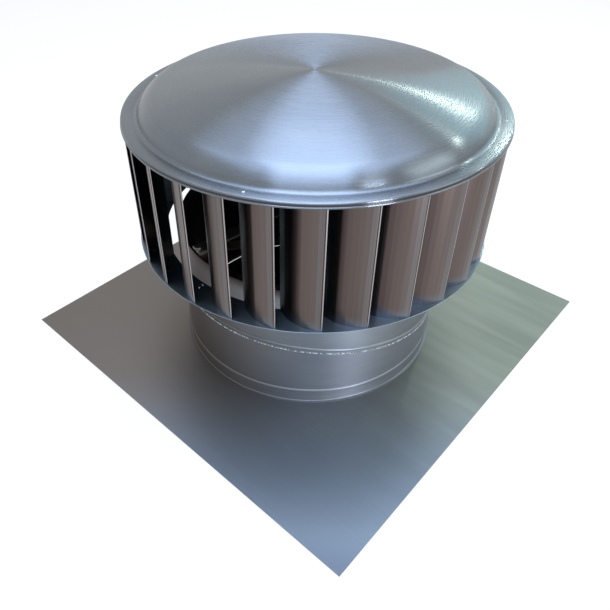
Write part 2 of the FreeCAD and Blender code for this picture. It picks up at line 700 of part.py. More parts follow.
def blade_corners():
    """Section of a blade about the centre of its curve: flat facets, then the hem turned in at the tip."""
    facets = int(round(value("blade_facets")))
    step = "(blade_arc / blade_facets)"
    angles = ["(%d * %s - blade_arc / 2)" % (index, step) for index in range(facets + 1)]
    outer = [("blade_curve * cos%s" % angle, "blade_curve * sin%s" % angle) for angle in angles]
    inner = [("(blade_curve - blade_sheet) * cos%s" % angle, "(blade_curve - blade_sheet) * sin%s" % angle)
             for angle in angles[:-1]]
    tip_x, tip_y = outer[-1]
    last = "(blade_arc / 2 - %s / 2)" % step
    hem = "(%s + hem_turn)" % last
    hem_x = "%s - hem_width * sin%s" % (tip_x, hem)
    hem_y = "%s + hem_width * cos%s" % (tip_y, hem)
    bend = "(%s + hem_turn / 2)" % last
    fold = "blade_sheet / cos(hem_turn / 2)"
    corners = outer + [(hem_x, hem_y),
                       ("%s - blade_sheet * cos%s" % (hem_x, hem), "%s - blade_sheet * sin%s" % (hem_y, hem)),
                       ("%s - %s * cos%s" % (tip_x, fold, bend), "%s - %s * sin%s" % (tip_y, fold, bend))]
    return corners + inner[::-1]


def blade_place(index):
    """Places a blade's tip on the tip circle, its middle facet turned back by the setting angle."""
    tip = FreeCAD.Vector(value("blade_curve * cos(blade_arc / 2)"), value("blade_curve * sin(blade_arc / 2)"), 0)
    turn = FreeCAD.Rotation(FreeCAD.Vector(0, 0, 1), -value("blade_setting"))
    spot = FreeCAD.Placement(FreeCAD.Vector(value(blade_tip_radius), 0, value(blade_low)), turn)
    round_axis = FreeCAD.Rotation(FreeCAD.Vector(0, 0, 1), value("blade_angle") + index * 360 / value("blade_count"))
    return FreeCAD.Placement(FreeCAD.Vector(), round_axis) * spot * FreeCAD.Placement(-tip, FreeCAD.Rotation())


def blade(index):
    """Roll-formed blade with a spot-weld tab bent inward at each end."""
    label = "blade_%02d" % (index + 1)
    body = new_body(label)
    pad(body, outline(body, label + "_section", blade_corners(), plane="XY_Plane"), label + "_strip", blade_length)
    face = "(blade_curve * cos(blade_arc / blade_facets / 2) - blade_sheet / 2)"
    back = "(%s - tab_depth)" % face
    half = "tab_width / 2"
    tab = [(back, "-" + half), (face, "-" + half), (face, half), (back, half)]
    pad(body, outline(body, label + "_foot", tab, plane="XY_Plane"), label + "_foot_tab", "blade_sheet")
    pad(body, outline(body, label + "_head", tab, plane="XY_Plane", height=blade_length + " - blade_sheet"),
        label + "_head_tab", "blade_sheet")
    body.Placement = blade_place(index)


def cap_face(offset):
    """Corners of one face of the crown, shoulder and foot fillet, offset inward from the outer face."""
    foot_x = "(%s - channel_flat)" % channel_edge
    shoulder_x = "(%s - (shoulder_curve + cap_fillet) * sin(shoulder_angle))" % foot_x
    crown_angle = "asin(%s / (crown_curve - shoulder_curve))" % shoulder_x
    shoulder_z = "(cap_floor + cap_fillet - (cap_fillet + shoulder_curve) * cos(shoulder_angle))"
    crown_centre = "(%s - (crown_curve - shoulder_curve) * cos(%s))" % (shoulder_z, crown_angle)
    crown = "(crown_curve - %s)" % offset
    bend = "(shoulder_curve - %s)" % offset
    return [("0", "%s + %s" % (crown_centre, crown)),
            ("%s * sin(%s)" % (crown, crown_angle), "%s + %s * cos(%s)" % (crown_centre, crown, crown_angle)),
            ("%s + %s * sin(shoulder_angle)" % (shoulder_x, bend),
             "%s + %s * cos(shoulder_angle)" % (shoulder_z, bend)),
            (foot_x, "cap_floor - %s" % offset),
            (channel_edge, "cap_floor - %s" % offset),
            ("(%s + channel_ramp)" % channel_edge, "%s - %s" % (flange_high, offset)),
            ("(%s - rim_corner)" % rim_radius, "%s - %s" % (flange_high, offset))]


def cap():
    """Spun cap: crown, shoulder, channel, flange and a lip that ends in a rolled bead."""
    lip_low = "(%s - lip_drop)" % flange_high
    inner_wall = "(%s - cap_sheet)" % rim_radius
    outer = cap_face("0") + [(rim_radius, "(%s - rim_corner)" % flange_high),
                             (rim_radius, "(%s + 2 * bead_half)" % lip_low), (rim_radius, lip_low)]
    inner = [(inner_wall, lip_low), (inner_wall, "(%s - rim_corner)" % flange_high)] + cap_face("cap_sheet")[::-1]
    arcs = {0: ("crown_curve", -1), 1: ("shoulder_curve", -1), 2: ("cap_fillet", 1), 6: ("rim_corner", -1),
            8: ("bead_arc", -1), 11: ("(rim_corner - cap_sheet)", 1), 15: ("(cap_fillet + cap_sheet)", -1),
            16: ("(shoulder_curve - cap_sheet)", 1), 17: ("(crown_curve - cap_sheet)", 1)}
    turned("cap", outer + inner, arcs)
    drill(parts[-1], "cap_rivet_holes", cap_rivet_spots(), "rivet_shank")


base_plate()
upstand()
throat_tube()
seam_sealant()
lower_spider()
upper_spider()
spider_fasteners()
shaft()
shaft_fasteners()
bearings()
bearing_housing()
rotor_spider()
housing_fasteners()
upper_ring()
lower_ring()
joint_plate()
for number in range(int(round(value("blade_count")))):
    blade(number)
cap()
rivets()
doc.recompute()

# Check every object and every sub-part before anything is written

failed = [item.Name for item in doc.Objects if "Invalid" in item.State or "Error" in item.State]
if failed:
    raise RuntimeError("failed objects: " + ", ".join(failed))
for item in parts:
    if item.Shape.isNull() or not item.Shape.isValid():
        raise RuntimeError("bad shape: " + item.Label)
os.makedirs("parts", exist_ok=True)
for item in parts:
    item.Shape.exportStep("parts/%s.step" % item.Label)
    box = item.Shape.BoundBox
    print(item.Label, len(item.Shape.Solids), round(item.Shape.Volume), "z", round(box.ZMin, 1), round(box.ZMax, 1))
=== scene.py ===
import json
import math
import random

import bpy
from mathutils import Matrix, Vector


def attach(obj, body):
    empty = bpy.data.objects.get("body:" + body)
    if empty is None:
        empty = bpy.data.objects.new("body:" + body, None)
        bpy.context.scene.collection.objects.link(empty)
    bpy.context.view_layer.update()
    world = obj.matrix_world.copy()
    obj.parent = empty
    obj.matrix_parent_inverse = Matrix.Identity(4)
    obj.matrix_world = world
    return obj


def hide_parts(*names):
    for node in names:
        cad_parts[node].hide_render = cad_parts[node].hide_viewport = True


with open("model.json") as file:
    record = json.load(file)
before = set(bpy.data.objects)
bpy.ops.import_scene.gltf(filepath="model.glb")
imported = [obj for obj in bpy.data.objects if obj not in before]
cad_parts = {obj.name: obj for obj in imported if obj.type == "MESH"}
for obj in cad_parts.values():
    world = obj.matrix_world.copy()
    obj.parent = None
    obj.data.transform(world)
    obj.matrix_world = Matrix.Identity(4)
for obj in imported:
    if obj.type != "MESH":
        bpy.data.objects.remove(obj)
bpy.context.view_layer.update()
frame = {"nodes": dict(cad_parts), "record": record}
print("frame loaded:", len(frame["nodes"]), "CAD nodes")

millimetre = 0.001

# Small helpers for colours and nodes


def hexToLinear(text):  # sRGB hex to the linear colour that nodes take
    levels = [int(text[i:i + 2], 16) / 255 for i in (1, 3, 5)]
    return [v / 12.92 if v <= 0.04045 else ((v + 0.055) / 1.055) ** 2.4 for v in levels] + [1.0]


def addNode(tree, kind, settings=None, links=None):
    node = tree.nodes.new("ShaderNode" + kind)
    for name, value in (settings or {}).items():
        if isinstance(name, int) or name in node.inputs:
            node.inputs[name].default_value = value
        else:
            setattr(node, name, value)
    for socket, source in (links or {}).items():
        tree.links.new(source, node.inputs[socket])
    return node


def newMaterial(name):
    material = bpy.data.materials.new(name)
    material.use_nodes = True
    tree = material.node_tree
    return material, tree, tree.nodes["Principled BSDF"]


def setRamp(ramp, stops):  # one plain colour from each stop to the next
    ramp.interpolation = "CONSTANT"
    for index, (position, colour) in enumerate(stops):
        stop = ramp.elements[index] if index < 2 else ramp.elements.new(position)
        stop.position, stop.color = position, hexToLinear(colour)


# Metals of the ventilator, told apart by how each sheet or bar was worked
# grain says how the tool or roll marks run: round the axis, along a blade, or along X on a flat sheet.
# lineSpacing is the marks' width and blotch the size of soft patches, both in millimetres. lineStretch below 1
# draws the marks out, lineDepth is the strength of their relief and lineTone what they add to the colour.
# bands are painted reflections on the flats of a formed strip, each from a share of its width on, with a painted
# shadow line and a painted highlight on the hem; insideShade paints shade on its inner side.
# leans are painted reflections and painted shade: tones that come in along a way, from start to end in metres.
# waves are the painted sheen of the slight waviness that the rolls left.

metalFinishes = {
    "spun_satin_aluminium": {  # spun cap: fine rings from the spinning tool pull the highlight into a bow tie
        "colour": "#697077", "toneColour": "#727980", "roughness": 0.27, "anisotropy": 1.0, "grain": "round",
        "lineSpacing": 1.1, "lineStretch": 0.02, "lineDepth": 0.05, "lineTone": 0.01, "blotch": 120,
        # painted reflection: a dark band on the lip under the flange, with the metal's tone back again below it on
        # the bead
        "paintedLightLeans": [{"way": (0, 0, -1), "start": -0.5368, "end": -0.5358, "colour": "#3f3735", "share": 0.85},
                  {"way": (0, 0, -1), "start": -0.5326, "end": -0.5318, "colour": "#6f767c", "share": 1.0}]},
    "roll_formed_aluminium": {  # blades: long drawn lines down the strip, and a painted reflection tone on each flat
        "roughness": 0.34, "grain": "long", "lineSpacing": 2.2, "lineStretch": 0.006, "lineDepth": 0.3,
        "lineTone": 0.06, "insideShade": 0.45,
        # painted light: darker bluish inner flats and reflection tones on the others, a painted shadow line at
        # 0.954 and a painted highlight on the hem from 0.978
        "paintedFacetLight": [(0.0, "#5f6e74"), (0.191, "#585c5e"), (0.29, "#554f4d"), (0.382, "#574a47"),
                  (0.48, "#5e524f"), (0.572, "#615550"), (0.67, "#635853"), (0.763, "#645b57"),
                  (0.86, "#6c6664"), (0.954, "#4a3a36"), (0.978, "#a3a19f")],
        # painted reflection: the lower ends of the blades turn bluish, as the ring below would show in them
        "paintedLightLeans": [{"way": (0, 0, -1), "start": -0.305, "end": -0.279, "colour": "#69747d", "share": 0.6}]},
    "rolled_flashing_aluminium": {  # base sheet: mill rolled, dull, slightly blotched
        "colour": "#74777a", "toneColour": "#7d8182", "roughness": 0.42, "metallic": 0.82, "grain": "flat",
        "lineSpacing": 1.6, "lineStretch": 0.01, "lineDepth": 0.2, "lineTone": 0.025, "blotch": 190,
        # painted sheen: tones of the roll waviness, growing towards the +X+Y side
        "waveSheen": {"spacing": 34, "stretch": 0.13, "distortion": 0.4, "tone": 0.13, "way": (0.73, 0.68, 0),
                  "start": 0.05, "end": 0.3},
        # painted reflections: browner on the −X−Y side, greener grey on the +X+Y side, bluish towards the +X−Y
        # corner and darker at its tip
        "paintedLightLeans": [{"way": (-0.73, -0.68, 0), "start": -0.1, "end": 0.4, "colour": "#61584f", "share": 0.9},
                  {"way": (0.73, 0.68, 0), "start": -0.1, "end": 0.45, "colour": "#6b6e61", "share": 0.85},
                  {"way": (0.63, -0.777, 0), "start": 0.2, "end": 0.5, "colour": "#6c7985", "share": 0.7},
                  {"way": (0.63, -0.777, 0), "start": 0.56, "end": 0.66, "colour": "#4c545d", "share": 0.8}]},
    "rolled_collar_aluminium": {  # upstand: sheet rolled into a tube
        "colour": "#777c82", "toneColour": "#83888e", "roughness": 0.5, "anisotropy": 0.6, "grain": "round",
        "lineSpacing": 1.6, "lineStretch": 0.02, "lineDepth": 0.25, "lineTone": 0.02, "blotch": 150,
        # painted reflection: browner and darker towards the −X−Y side
        "paintedLightLeans": [{"way": (-0.73, -0.68, 0), "start": 0.0, "end": 0.26, "colour": "#5c5550", "share": 0.9}]},
    "rolled_throat_aluminium": {  # throat: the same sheet, handled more
        "colour": "#7d8388", "toneColour": "#898f94", "roughness": 0.46, "anisotropy": 0.6, "grain": "round",
        "lineSpacing": 1.6, "lineStretch": 0.02, "lineDepth": 0.25, "lineTone": 0.02, "blotch": 110,
        # painted reflection, browner and darker towards the −X−Y side, and painted shade, browner and darker
        # towards the top under the rotor
        "paintedLightLeans": [{"way": (-0.73, -0.68, 0), "start": 0.0, "end": 0.26, "colour": "#544c48", "share": 0.9},
                  {"way": (0, 0, 1), "start": 0.27, "end": 0.297, "colour": "#5a4d47", "share": 0.8}]},
    "blanked_ring_aluminium": {  # rings under and over the blades, a bluer and darker sheet
        "colour": "#808f9b", "toneColour": "#8a98a3", "roughness": 0.34, "anisotropy": 0.5, "grain": "round",
        "lineSpacing": 1.4, "lineStretch": 0.02, "lineDepth": 0.2, "blotch": 90},
    "mill_finish_flat_bar": {  # spider arms: drawn bar, warm grey
        "colour": "#8d8178", "toneColour": "#9b9188", "roughness": 0.4, "grain": "flat",
        "lineSpacing": 1.2, "lineStretch": 0.03, "lineDepth": 0.4, "blotch": 40},
    "bright_rivet_aluminium": {  # pulled blind rivets, bright from the nose of the tool
        "colour": "#a8b1b8", "toneColour": "#979fa6", "roughness": 0.26, "grain": "flat",
        "lineSpacing": 0.5, "lineStretch": 0.6, "lineDepth": 0.3, "blotch": 5},
    "zinc_plated_steel": {  # bolts, nuts and washers: pale, faintly yellow passivate
        "colour": "#b2ae9f", "toneColour": "#a4a6a2", "roughness": 0.3, "grain": "flat",
        "lineSpacing": 0.8, "lineStretch": 0.7, "lineDepth": 0.4, "blotch": 9},
    "turned_shaft_steel": {  # bright drawn bar with fine lathe rings
        "colour": "#8f9295", "toneColour": "#a0a3a5", "roughness": 0.26, "anisotropy": 0.5, "grain": "round",
        "lineSpacing": 0.6, "lineStretch": 1.0, "lineDepth": 0.3, "blotch": 20},
    "ground_bearing_steel": {  # hardened and ground rings and balls, near a mirror
        "colour": "#a9abad", "toneColour": "#9fa1a4", "roughness": 0.14, "grain": "round",
        "lineSpacing": 0.4, "lineStretch": 1.0, "lineDepth": 0.1, "blotch": 10},
    "turned_housing_aluminium": {  # bearing housing and its dust cap, cut on a lathe
        "colour": "#8d9193", "toneColour": "#999d9f", "roughness": 0.32, "anisotropy": 0.5, "grain": "round",
        "lineSpacing": 0.8, "lineStretch": 1.0, "lineDepth": 0.3, "blotch": 25},
}
noiseLow, noiseHigh = 0.3, 0.7       # most of a noise lies between these two
patchLow, patchHigh = 0.7, 1.3       # sum of two noises where the tone colour starts and where it is full
noiseReach = 0.25                    # how far a smooth noise strays from its middle, 0.5
roughReach = 0.03                    # what the marks add to the roughness or take from it
markDepth = 0.02                     # relief of the marks in millimetres
markTurn = 0.25                      # a quarter turn lays the stretched highlight across the round marks


def grainMarks(tree, finish, place):  # a place on the sheet, squeezed so that even noise gives the worked marks
    if finish["grain"] != "round":
        stretch = (1, 1, finish["lineStretch"]) if finish["grain"] == "long" else (finish["lineStretch"], 1, 1)
        return addNode(tree, "VectorMath", {"operation": "MULTIPLY", 1: stretch}, {0: place}).outputs[0]
    x, y, z = addNode(tree, "SeparateXYZ", links={0: place}).outputs  # fine over radius and height, slow round
    flat = addNode(tree, "CombineXYZ", links={"X": x, "Y": y}).outputs[0]
    radius = addNode(tree, "VectorMath", {"operation": "LENGTH"}, {0: flat}).outputs["Value"]
    across = addNode(tree, "Math", {"operation": "ADD"}, {0: radius, 1: z}).outputs[0]
    slow = addNode(tree, "VectorMath", {"operation": "SCALE", "Scale": finish["lineStretch"]}, {0: flat})
    slowX, slowY, _ = addNode(tree, "SeparateXYZ", links={0: slow.outputs[0]}).outputs
    return addNode(tree, "CombineXYZ", links={"X": across, "Y": slowX, "Z": slowY}).outputs[0]


def sheetColour(tree, finish, place, lines):
    if "paintedFacetLight" in finish:  # each flat of a formed strip takes a painted reflection tone, and the inner side painted shade
        strip = addNode(tree, "Attribute", {"attribute_name": "strip"}).outputs["Fac"]
        ramp = addNode(tree, "ValToRGB", links={0: strip})
        setRamp(ramp.color_ramp, finish["paintedFacetLight"])
        # painted shade: the inner side of the strip is darkened by insideShade
        inside = addNode(tree, "Attribute", {"attribute_name": "inside"}).outputs["Fac"]
        dull = addNode(tree, "MapRange", {"To Min": 1.0, "To Max": finish["insideShade"]}, {"Value": inside})
        colour = addNode(tree, "Mix", {"data_type": "RGBA", "blend_type": "MULTIPLY", 0: 1.0},
                         {6: ramp.outputs[0], 7: dull.outputs[0]}).outputs[2]
    else:  # soft patches and lines of a second tone
        blotch = addNode(tree, "TexNoise", {"Scale": 1 / (finish["blotch"] * millimetre), "Detail": 2.0},
                         {"Vector": place})
        patches = addNode(tree, "Math", {"operation": "ADD"}, {0: lines, 1: blotch.outputs["Fac"]})
        share = addNode(tree, "MapRange", {"From Min": patchLow, "From Max": patchHigh},
                        {"Value": patches.outputs[0]})
        colour = addNode(tree, "Mix", {"data_type": "RGBA", 6: hexToLinear(finish["colour"]),
                                       7: hexToLinear(finish["toneColour"])}, {0: share.outputs[0]}).outputs[2]
    # painted reflections and painted shade: each lean lays its tone over the colour, growing from its start to its
    # end
    for lean in finish.get("paintedLightLeans", []):
        along = addNode(tree, "VectorMath", {"operation": "DOT_PRODUCT", 1: lean["way"]}, {0: place})
        part = addNode(tree, "MapRange", {"interpolation_type": "SMOOTHSTEP", "From Min": lean["start"],
                                          "From Max": lean["end"], "To Max": lean["share"]},
                       {"Value": along.outputs["Value"]})
        colour = addNode(tree, "Mix", {"data_type": "RGBA", 7: hexToLinear(lean["colour"])},
                         {0: part.outputs[0], 6: colour}).outputs[2]
    factors = []
    if "waveSheen" in finish:  # painted sheen of the slight waviness that the rolls left, seen where the sheet takes a low light
        waveSheen = finish["waveSheen"]
        run = addNode(tree, "VectorMath", {"operation": "MULTIPLY", 1: (waveSheen["stretch"], 1, 1)}, {0: place})
        wave = addNode(tree, "TexNoise", {"Scale": 1 / (waveSheen["spacing"] * millimetre), "Detail": 1.0,
                                          "Distortion": waveSheen["distortion"]}, {"Vector": run.outputs[0]})
        along = addNode(tree, "VectorMath", {"operation": "DOT_PRODUCT", 1: waveSheen["way"]}, {0: place})
        part = addNode(tree, "MapRange", {"From Min": waveSheen["start"], "From Max": waveSheen["end"],
                                          "To Max": waveSheen["tone"] / noiseReach}, {"Value": along.outputs["Value"]})
        centred = addNode(tree, "Math", {"operation": "SUBTRACT", 1: 0.5}, {0: wave.outputs["Fac"]})
        factors.append(addNode(tree, "Math", {"operation": "MULTIPLY_ADD", 2: 1.0},
                               {0: centred.outputs[0], 1: part.outputs[0]}))
    if "lineTone" in finish:
        factors.append(addNode(tree, "MapRange", {"From Min": noiseLow, "From Max": noiseHigh,
                                                  "To Min": 1 - finish["lineTone"],
                                                  "To Max": 1 + finish["lineTone"]}, {"Value": lines}))
    for factor in factors:
        colour = addNode(tree, "Mix", {"data_type": "RGBA", "blend_type": "MULTIPLY", 0: 1.0},
                         {6: colour, 7: factor.outputs[0]}).outputs[2]
    return colour


def workedMetal(name, finish):
    material, tree, shader = newMaterial(name)
    place = addNode(tree, "TexCoord").outputs["Object"]
    marks = grainMarks(tree, finish, place)
    lines = addNode(tree, "TexNoise", {"Scale": 1 / (finish["lineSpacing"] * millimetre), "Detail": 3.0,
                                       "Roughness": 0.6}, {"Vector": marks}).outputs["Fac"]
    tree.links.new(sheetColour(tree, finish, place, lines), shader.inputs["Base Color"])
    rough = addNode(tree, "MapRange", {"From Min": noiseLow, "From Max": noiseHigh,
                                       "To Min": finish["roughness"] - roughReach,
                                       "To Max": finish["roughness"] + roughReach}, {"Value": lines})
    tree.links.new(rough.outputs[0], shader.inputs["Roughness"])
    bump = addNode(tree, "Bump", {"Strength": finish["lineDepth"], "Distance": markDepth * millimetre},
                   {"Height": lines})
    tree.links.new(bump.outputs[0], shader.inputs["Normal"])
    shader.inputs["Metallic"].default_value = finish.get("metallic", 1.0)
    if "anisotropy" in finish:
        shader.inputs["Anisotropic"].default_value = finish["anisotropy"]
        shader.inputs["Anisotropic Rotation"].default_value = markTurn
        tangent = addNode(tree, "Tangent", {"direction_type": "RADIAL", "axis": "Z"})
        tree.links.new(tangent.outputs[0], shader.inputs["Tangent"])
    return material


metals = {name: workedMetal(name, finish) for name, finish in metalFinishes.items()}

sealantLook = {"colour": "#4d5254", "toneColour": "#b9c2c3", "roughness": 0.36, "lump": 4,  # lumps in millimetres
               "lumpDepth": 0.5, "relief": 0.5, "paleStart": 0.45, "paleFull": 0.62}


def curedSealant(look):  # silicone tooled by finger: semi-gloss with soft lumps, pale on the high parts of the lumps
    material, tree, shader = newMaterial("tooled_grey_sealant")
    place = addNode(tree, "TexCoord").outputs["Object"]
    lumps = addNode(tree, "TexNoise", {"Scale": 1 / (look["lump"] * millimetre), "Detail": 2.0}, {"Vector": place})
    share = addNode(tree, "MapRange", {"From Min": look["paleStart"], "From Max": look["paleFull"]},
                    {"Value": lumps.outputs["Fac"]})
    colour = addNode(tree, "Mix", {"data_type": "RGBA", 6: hexToLinear(look["colour"]),
                                   7: hexToLinear(look["toneColour"])}, {0: share.outputs[0]})
    tree.links.new(colour.outputs[2], shader.inputs["Base Color"])
    bump = addNode(tree, "Bump", {"Strength": look["relief"], "Distance": look["lumpDepth"] * millimetre},
                   {"Height": lumps.outputs["Fac"]})
    tree.links.new(bump.outputs[0], shader.inputs["Normal"])
    shader.inputs["Roughness"].default_value = look["roughness"]
    return material


slotMaterials = {
    "flashing_sheet": metals["rolled_flashing_aluminium"], "upstand_sheet": metals["rolled_collar_aluminium"],
    "throat_sheet": metals["rolled_throat_aluminium"], "sealant": curedSealant(sealantLook),
    "flat_bar": metals["mill_finish_flat_bar"], "zinc_fasteners": metals["zinc_plated_steel"],
    "rivet_metal": metals["bright_rivet_aluminium"], "shaft_steel": metals["turned_shaft_steel"],
    "bearing_steel": metals["ground_bearing_steel"], "housing_metal": metals["turned_housing_aluminium"],
    "ring_sheet": metals["blanked_ring_aluminium"], "blade_sheet": metals["roll_formed_aluminium"],
    "spun_cap": metals["spun_satin_aluminium"]}
for row in frame["record"]["subparts"]:
    node = frame["nodes"][row["node"]]
    node.data.materials.clear()
    node.data.materials.append(slotMaterials[row["material_slot"]])
print("materials made:", len(slotMaterials))

# Meshes turned or swept from a section in millimetres

axisRoom = 1e-6  # a corner closer than this to the axis is on it


def arcPoints(start, end, radius, side, steps):  # points after start up to end; side 1 has the centre to the left
    (sx, sy), (ex, ey) = start, end
    hx, hy = (ex - sx) / 2, (ey - sy) / 2
    half = math.hypot(hx, hy)
    rise = math.sqrt(max(radius ** 2 - half ** 2, 0))
    cx, cy = sx + hx - hy / half * side * rise, sy + hy + hx / half * side * rise
    first = math.atan2(sy - cy, sx - cx)
    sweep = 2 * math.asin(min(half / radius, 1)) * side
    return [(cx + radius * math.cos(first + sweep * i / steps), cy + radius * math.sin(first + sweep * i / steps))
            for i in range(1, steps + 1)]


def sectionLine(corners, arcs):  # closed line through corners; arcs maps a corner to (radius, side, steps)
    line = [corners[0]]
    for index, corner in enumerate(corners):
        following = corners[(index + 1) % len(corners)]
        line += arcPoints(corner, following, *arcs[index]) if index in arcs else [following]
    return line[:-1]


def meshPiece(name, points, faces, slot, body, nodes, creaseAngle=35, pointValues=None):
    mesh = bpy.data.meshes.new(name)
    mesh.from_pydata([[c * millimetre for c in p] for p in points], [], faces)
    mesh.validate()
    mesh.polygons.foreach_set("use_smooth", [True] * len(mesh.polygons))
    mesh.set_sharp_from_angle(angle=math.radians(creaseAngle))
    mesh.update()
    for label, values in (pointValues or {}).items():
        mesh.attributes.new(label, "FLOAT", "POINT").data.foreach_set("value", values)
    piece = bpy.data.objects.new(name, mesh)
    bpy.context.scene.collection.objects.link(piece)
    mesh.materials.append(slotMaterials[slot])
    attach(piece, body)
    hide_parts(*nodes)


def onAxis(radius, height, angle):
    return (radius * math.cos(angle), radius * math.sin(angle), height)


def turnSection(section, around, place):
    points, faces, rows = [], [], []
    for radius, height in section:
        if radius < axisRoom:
            rows.append([len(points)] * around)
            points.append(place(0, height, 0))
        else:
            rows.append(list(range(len(points), len(points) + around)))
            points += [place(radius, height, 2 * math.pi * i / around) for i in range(around)]
    for index, low in enumerate(rows):
        high = rows[(index + 1) % len(rows)]
        for i in range(around):
            j = (i + 1) % around
            face = list(dict.fromkeys([low[i], low[j], high[j], high[i]]))
            if len(face) >= 3:
                faces.append(face)
    return points, faces


def turnedPiece(name, section, slot, body, nodes, around=256, place=onAxis):
    meshPiece(name, *turnSection(section, around, place), slot, body, nodes)


# Spun cap: crown, shoulder, channel, flange and a lip with a rolled bead

capSizes = {"sheet": 1.0, "floor": 538.0, "crownCurve": 1550.0, "shoulderCurve": 46.5, "shoulderAngle": 66.5,
            "fillet": 8.0, "channelFlat": 2.0, "channelEdge": 342.0, "channelRamp": 2.0, "flangeRise": 1.0,
            "rimRadius": 364.0, "rimCorner": 2.2, "lipDrop": 10.5, "beadHalf": 1.9, "beadArc": 2.1, "around": 384}


def capFace(s, offset):  # corners from the axis to the rim, on the outer face or a sheet's thickness under it
    shoulder = math.radians(s["shoulderAngle"])
    foot = s["channelEdge"] - s["channelFlat"]
    sx = foot - (s["shoulderCurve"] + s["fillet"]) * math.sin(shoulder)
    sz = s["floor"] + s["fillet"] - (s["shoulderCurve"] + s["fillet"]) * math.cos(shoulder)
    crown = math.asin(sx / (s["crownCurve"] - s["shoulderCurve"]))
    centre = sz - (s["crownCurve"] - s["shoulderCurve"]) * math.cos(crown)
    r, b = s["crownCurve"] - offset, s["shoulderCurve"] - offset
    high = s["floor"] + s["flangeRise"] - offset
    return [(0, centre + r), (r * math.sin(crown), centre + r * math.cos(crown)),
            (sx + b * math.sin(shoulder), sz + b * math.cos(shoulder)),
            (foot, s["floor"] - offset),
            (s["channelEdge"], s["floor"] - offset), (s["channelEdge"] + s["channelRamp"], high),
            (s["rimRadius"] - s["rimCorner"], high)]


def spunCap(s):
    high = s["floor"] + s["flangeRise"]
    low = high - s["lipDrop"]
    wall = s["rimRadius"] - s["sheet"]
    corners = capFace(s, 0) + [(s["rimRadius"], high - s["rimCorner"]), (s["rimRadius"], low + 2 * s["beadHalf"]),
                               (s["rimRadius"], low), (wall, low), (wall, high - s["rimCorner"])]
    corners += capFace(s, s["sheet"])[::-1]
    arcs = {0: (s["crownCurve"], -1, 26), 1: (s["shoulderCurve"], -1, 14), 2: (s["fillet"], 1, 8),
            6: (s["rimCorner"], -1, 5), 8: (s["beadArc"], -1, 8), 11: (s["rimCorner"] - s["sheet"], 1, 4),
            15: (s["fillet"] + s["sheet"], -1, 6), 16: (s["shoulderCurve"] - s["sheet"], 1, 8),
            17: (s["crownCurve"] - s["sheet"], 1, 12)}
    turnedPiece("spun_cap", sectionLine(corners, arcs), "spun_cap", "rotor", ["cap"], s["around"])


spunCap(capSizes)
print("spun cap made")

# Upstand and throat: two nested tubes that meet on a tilted seam

tubeSizes = {"radius": 283.0, "sheet": 1.2, "fit": 0.3, "throatSheet": 1.0, "flare": 5.0, "footFillet": 2.0,
             "creaseHeight": 33.5, "swageHalf": 4.0, "swageArc": 4.6, "seamHeight": 112.5, "seamTilt": 10.4,
             "seamDirection": -85.1, "seamDrop": 10.5, "lap": 20.0, "throatTop": 298.5, "throatRim": 15.0,
             "rimBend": 1.6, "edgeBreak": 0.3, "levelRoom": 1.0}


def seamRise(s, radius, angle):
    away = angle - math.radians(s["seamDirection"])
    return radius * math.tan(math.radians(s["seamTilt"])) * math.cos(away)


def tubePlace(s, tilted):  # tilted(height) says whether a height follows the seam or stays level
    return lambda radius, height, angle: onAxis(
        radius, height + (seamRise(s, radius, angle) if tilted(height) else 0.0), angle)


def upstand(s):
    outer, inner, foot, e = s["radius"], s["radius"] - s["sheet"], s["sheet"], s["edgeBreak"]
    edge = s["seamHeight"] - s["seamDrop"]
    low, high = s["creaseHeight"] - s["swageHalf"], s["creaseHeight"] + s["swageHalf"]
    corners = [(inner, foot), (outer + s["flare"], foot), (outer + s["flare"], 2 * foot),
               (outer + s["footFillet"], 2 * foot), (outer, 2 * foot + s["footFillet"]),
               (outer, low), (outer, high), (outer, edge - e), (outer - e, edge),
               (inner + e, edge), (inner, edge - e), (inner, high), (inner, low)]
    arcs = {3: (s["footFillet"], -1, 6), 5: (s["swageArc"], 1, 10), 11: (s["swageArc"], -1, 10)}
    place = tubePlace(s, lambda height: height > edge - s["levelRoom"])
    turnedPiece("upstand_collar", sectionLine(corners, arcs), "upstand_sheet", "base", ["upstand"], place=place)


def throat(s):
    outer = s["radius"] - s["sheet"] - s["fit"]
    inner = outer - s["throatSheet"]
    rim, bend = inner - s["throatRim"], s["rimBend"]
    edge = s["seamHeight"] - s["seamDrop"] - s["lap"]
    low, high = s["seamHeight"] - s["swageHalf"], s["seamHeight"] + s["swageHalf"]
    top, under = s["throatTop"], s["throatTop"] - s["throatSheet"]
    corners = [(inner, edge), (outer, edge), (outer, low), (outer, high), (outer, top - bend), (outer - bend, top),
               (rim, top), (rim, under), (inner, under), (inner, high), (inner, low)]
    arcs = {2: (s["swageArc"], 1, 10), 4: (bend, 1, 5), 9: (s["swageArc"], -1, 10)}
    place = tubePlace(s, lambda height: height < high + s["levelRoom"])
    turnedPiece("nested_throat", sectionLine(corners, arcs), "throat_sheet", "base", ["throat_tube"], place=place)


sealSizes = {"leg": 1.5, "lump": 0.5, "gain": 1.4, "spread": 3, "around": 720, "seed": 7,
             "lift": 0.02,  # keeps the bead off the edge that it lies on
             "section": ((0, 0), (1, 0), (0.75, 0.7), (0.3, 1.15), (0, 1.4))}  # out and up, in legs


